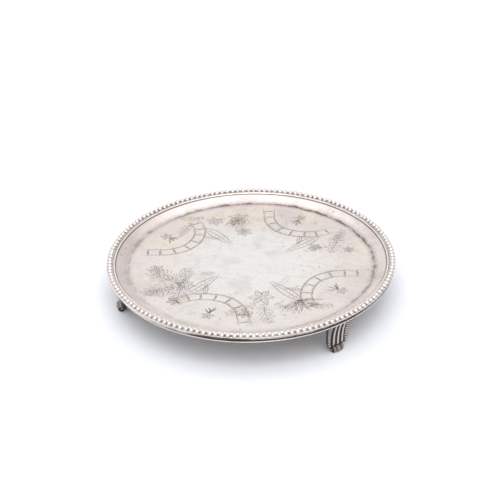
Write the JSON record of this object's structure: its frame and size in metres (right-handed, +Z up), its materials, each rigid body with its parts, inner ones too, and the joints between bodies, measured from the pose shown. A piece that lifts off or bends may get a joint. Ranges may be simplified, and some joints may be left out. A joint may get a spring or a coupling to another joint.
{
  "type": "salver",
  "caption": "Round footed salver with a flat engraved plate, a sloping wall, a beaded border with a moulded edge, and reeded bracket feet on scroll toes.",
  "frame": {"origin": "centre of the tray, at the table surface under the feet", "axes": "+Z up out of the serving surface, +Y towards the single back foot, +X to the right seen from the front"},
  "size_m": [0.203, 0.203, 0.0311],
  "materials": {
    "plate_silver": "worn satin silver, finely scratched",
    "border_silver": "polished silver, dark between the beads",
    "edge_silver": "tarnished silver, bright on the lip",
    "foot_silver": "oxidised cast silver, bright on the ridges"
  },
  "bodies": {
    "root": {"tray_plate": "plate_silver", "thread_wire": "border_silver", "bead_border": "border_silver", "edge_moulding": "edge_silver", "foot_front_left": "foot_silver", "foot_front_right": "foot_silver", "foot_back": "foot_silver"}
  },
  "joints": []
}
